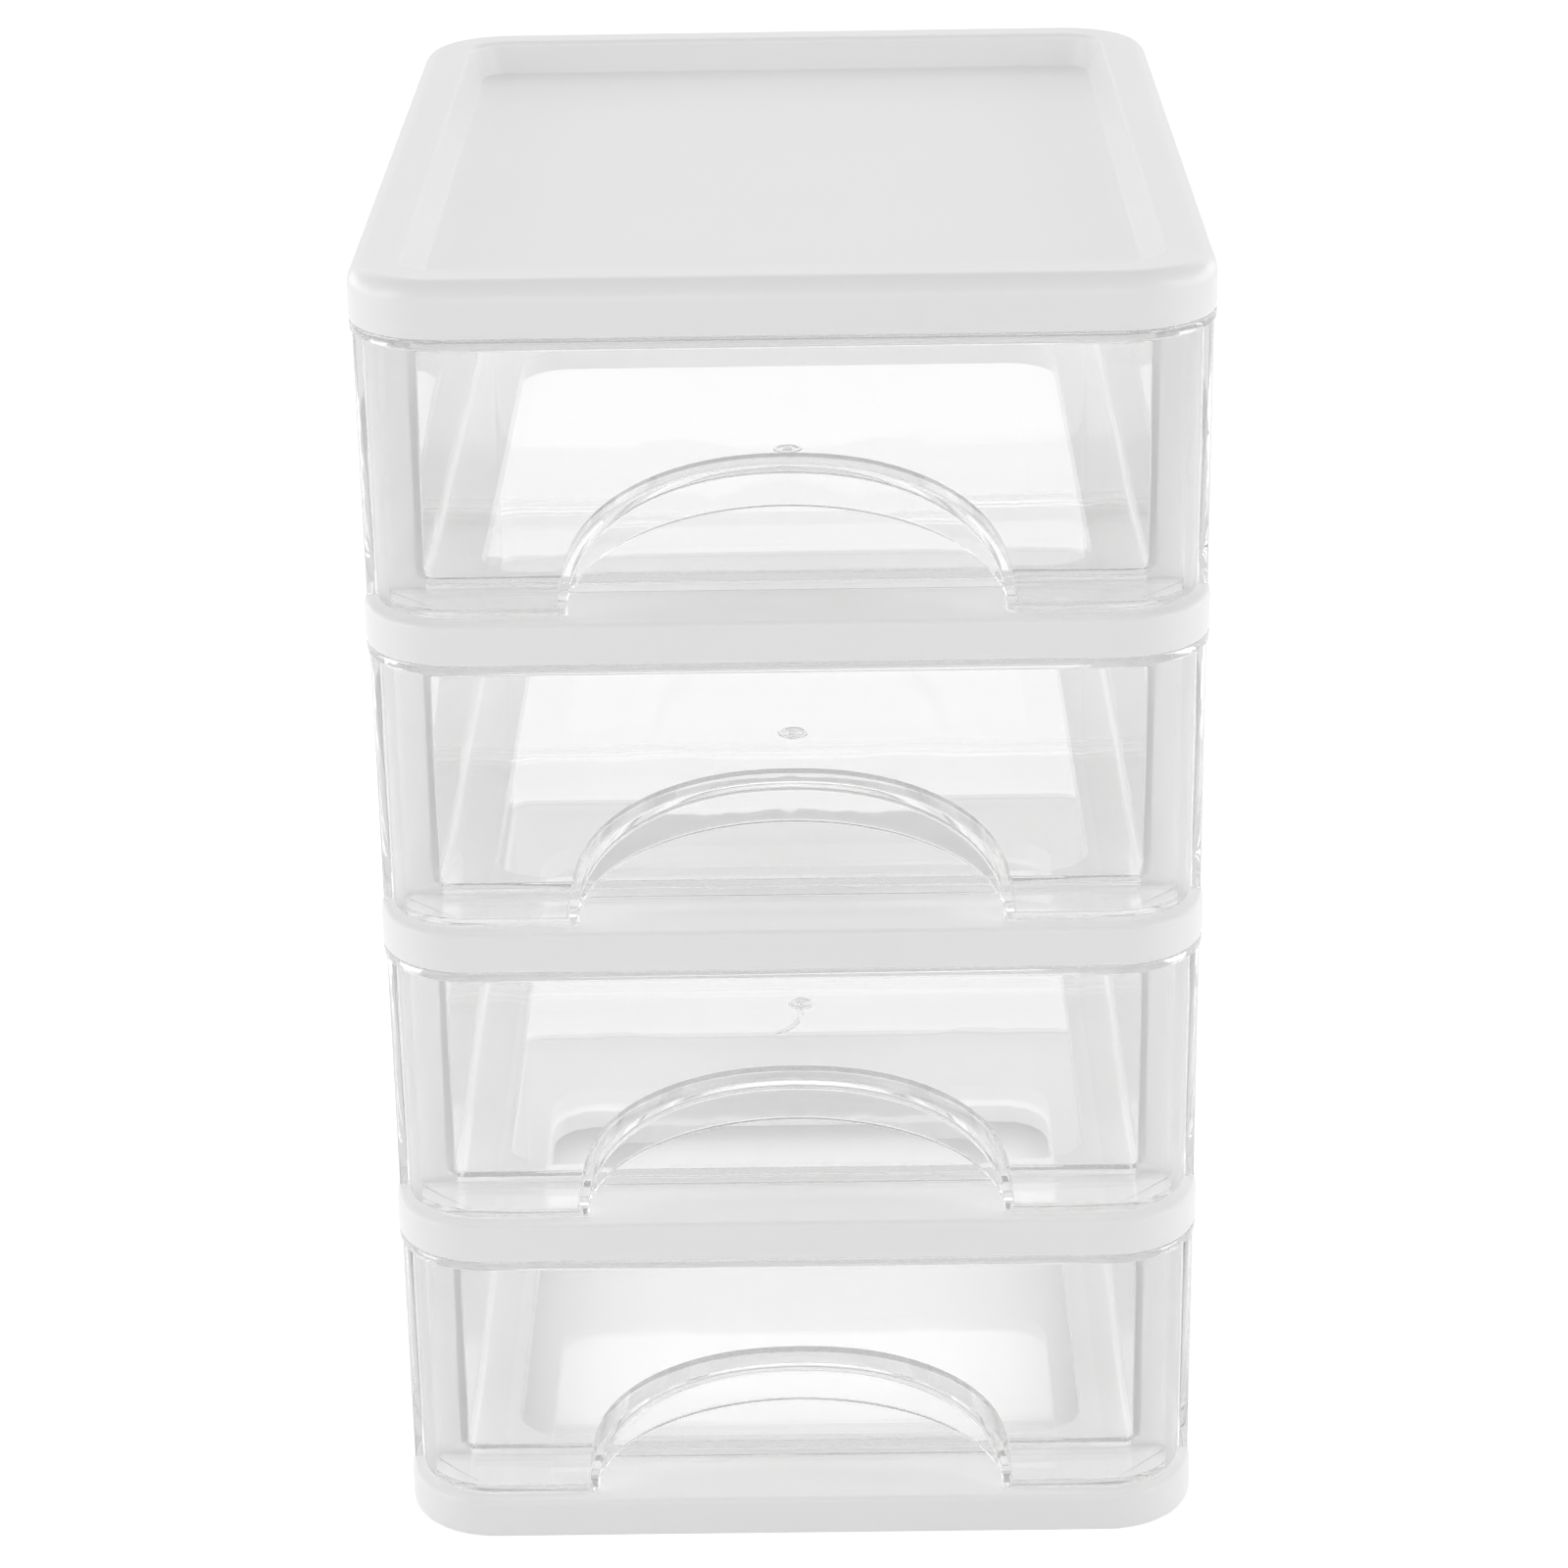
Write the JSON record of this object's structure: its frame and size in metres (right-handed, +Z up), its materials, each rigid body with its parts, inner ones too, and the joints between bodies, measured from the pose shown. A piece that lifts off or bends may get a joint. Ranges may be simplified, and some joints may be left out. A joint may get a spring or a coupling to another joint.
{
  "type": "desktop mini drawers",
  "caption": "Compact desktop drawer tower: clear drawers with arched finger pulls slide in clear cases stacked between white shelves, under a white lid with a sunk top.",
  "frame": {"origin": "centre of the outline, on the surface that the base stands on", "axes": "+X to the right seen from the front, -Y towards the person who pulls the drawers, +Z up"},
  "size_m": [0.14, 0.185, 0.2292],
  "materials": {
    "white_plastic": "satin injection-moulded white",
    "clear_plastic": "polished clear, colourless"
  },
  "bodies": {
    "frame": {"base": "white_plastic", "shelf_1": "white_plastic", "shelf_2": "white_plastic", "shelf_3": "white_plastic", "lid": "white_plastic", "case_1": "clear_plastic", "case_2": "clear_plastic", "case_3": "clear_plastic", "case_4": "clear_plastic"},
    "bottom_drawer": {"drawer_1": "clear_plastic"},
    "second_drawer": {"drawer_2": "clear_plastic"},
    "third_drawer": {"drawer_3": "clear_plastic"},
    "top_drawer": {"drawer_4": "clear_plastic"}
  },
  "joints": [
    {"name": "bottom_drawer_slide", "type": "slide", "parent": "frame", "child": "bottom_drawer", "axis": [0, -1, 0], "range_m": [0, 0.13]},
    {"name": "second_drawer_slide", "type": "slide", "parent": "frame", "child": "second_drawer", "axis": [0, -1, 0], "range_m": [0, 0.13]},
    {"name": "third_drawer_slide", "type": "slide", "parent": "frame", "child": "third_drawer", "axis": [0, -1, 0], "range_m": [0, 0.13]},
    {"name": "top_drawer_slide", "type": "slide", "parent": "frame", "child": "top_drawer", "axis": [0, -1, 0], "range_m": [0, 0.13]}
  ]
}
